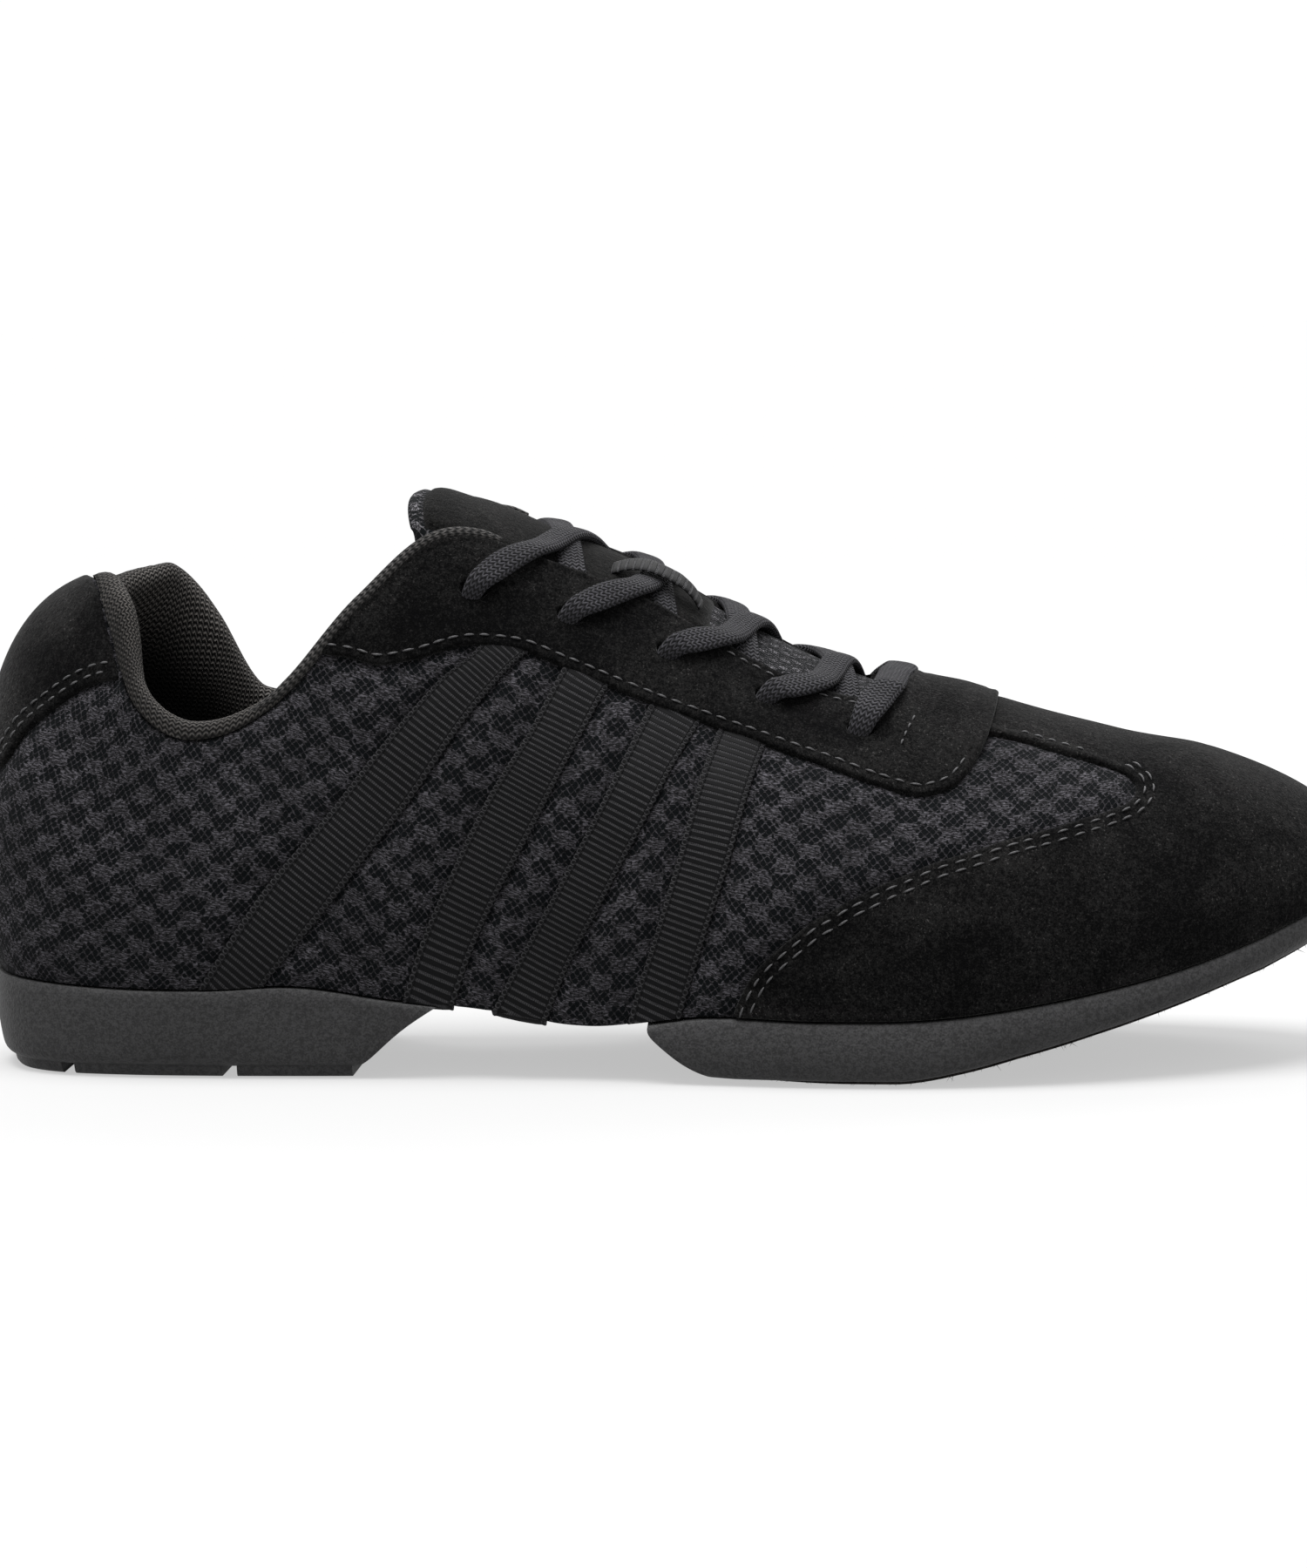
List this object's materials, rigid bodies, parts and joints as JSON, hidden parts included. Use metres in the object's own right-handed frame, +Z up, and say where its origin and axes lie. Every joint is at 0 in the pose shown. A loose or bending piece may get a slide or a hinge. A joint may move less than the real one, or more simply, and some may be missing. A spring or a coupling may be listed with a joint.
{
  "type": "dance sneaker",
  "caption": "Low split-sole dance sneaker with a mesh upper, suede overlays, flat criss-cross laces, a separate rubber heel and a sprung rubber forefoot sole; right shoe.",
  "frame": {"origin": "middle of the bounding box's base, on the floor under the middle of the shoe", "axes": "+X towards the toe, +Y towards the inner (medial) side, +Z up"},
  "size_m": [0.2698, 0.0896, 0.111],
  "materials": {
    "mesh_fabric": "double-layer knitted air mesh, matte",
    "suede": "black suede with a short nap",
    "sole_rubber": "fine-grained matte moulded rubber",
    "outsole_suede": "rough split suede, hairy cut edge",
    "lining": "knitted spacer lining",
    "tongue_mesh": "padded mesh with a suede patch",
    "lace": "flat knitted lace",
    "ribbon": "ribbed grosgrain tape with stitched edges",
    "thread": "grey sewing thread"
  },
  "bodies": {
    "root": {"upper": "mesh_fabric", "heel_counter": "suede", "eyestay": "suede", "toe_overlay": "suede", "heel_unit": "sole_rubber", "forefoot_unit": "sole_rubber", "outsole_pad": "outsole_suede", "insole": "lining", "tongue": "tongue_mesh", "lace_cross_1": "lace", "lace_cross_2": "lace", "lace_cross_3": "lace", "lace_cross_4": "lace", "lace_bar_5": "lace"}
  },
  "joints": []
}
